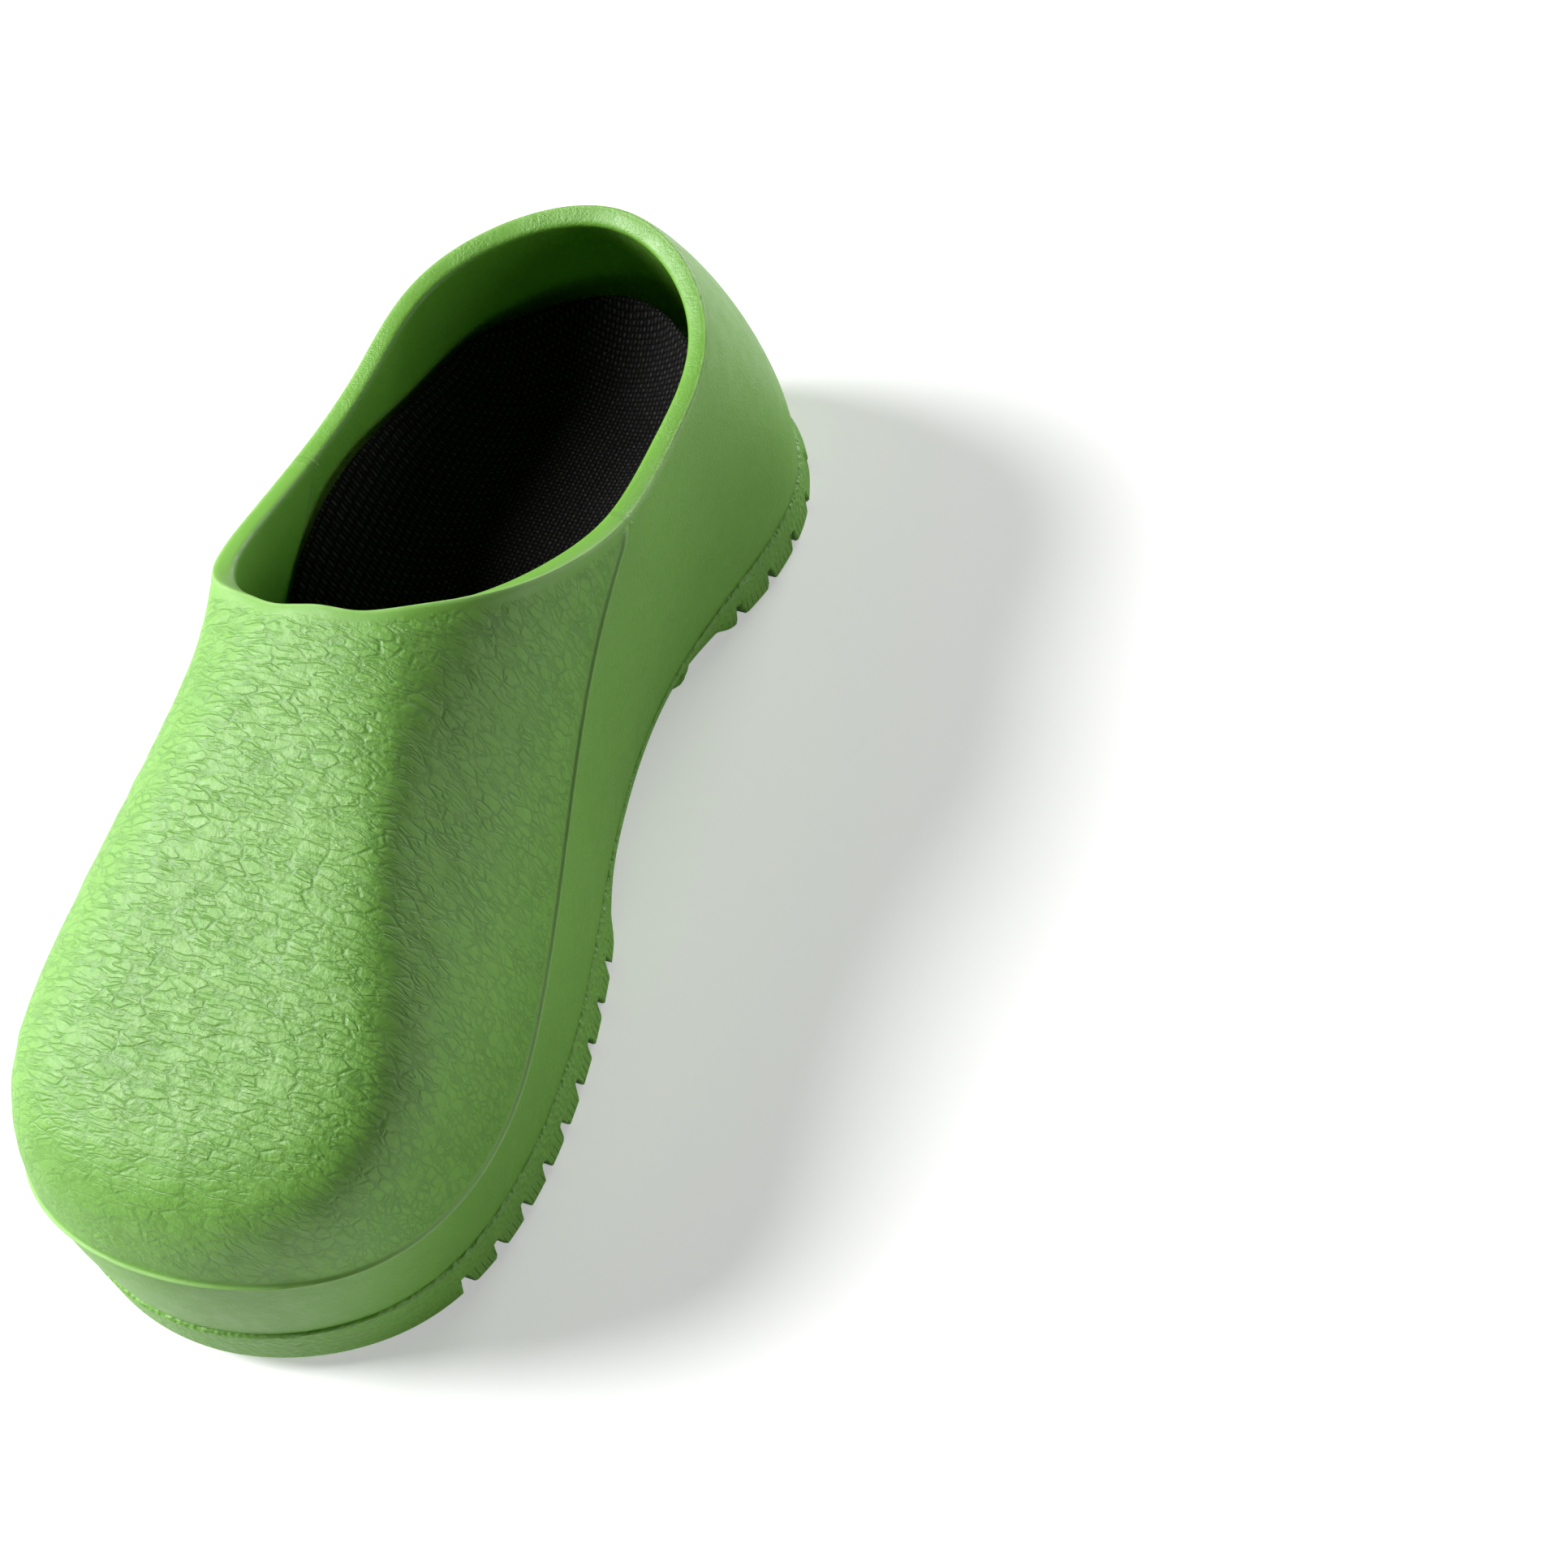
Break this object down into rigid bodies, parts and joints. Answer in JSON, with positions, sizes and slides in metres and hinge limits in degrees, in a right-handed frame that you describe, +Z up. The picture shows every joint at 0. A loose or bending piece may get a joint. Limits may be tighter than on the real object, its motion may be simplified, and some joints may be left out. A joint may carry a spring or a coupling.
{
  "type": "garden clog",
  "caption": "Right-foot backless-topline garden clog in moulded foam with a rounded toe, a closed heel, a lugged outsole and a loose contoured footbed.",
  "frame": {"origin": "on the ground below the middle of the clog's bounding box", "axes": "+Y from toe to heel, +X towards the big-toe side, +Z up"},
  "size_m": [0.1102, 0.272, 0.0992],
  "materials": {
    "shell_foam": "smooth moulded foam skin with a fine stipple",
    "vamp_foam": "moulded leather-like grain",
    "outsole_foam": "coarse moulded stipple",
    "plate_foam": "smooth moulded skin",
    "jute": "coarse woven underlay",
    "cork": "pressed cork granules bound in latex",
    "lining_textile": "black plain weave"
  },
  "bodies": {
    "clog": {"side_shell": "shell_foam", "vamp": "vamp_foam", "outsole": "outsole_foam", "arch_plate": "plate_foam"},
    "footbed": {"footbed_base": "jute", "footbed_core": "cork", "footbed_lining": "lining_textile"}
  },
  "joints": [
    {"name": "footbed_lift", "type": "hinge", "parent": "clog", "child": "footbed", "pos_m": [0, -0.1245, 0.0239], "axis": [1, 0, 0], "range_deg": [0, 3]}
  ]
}
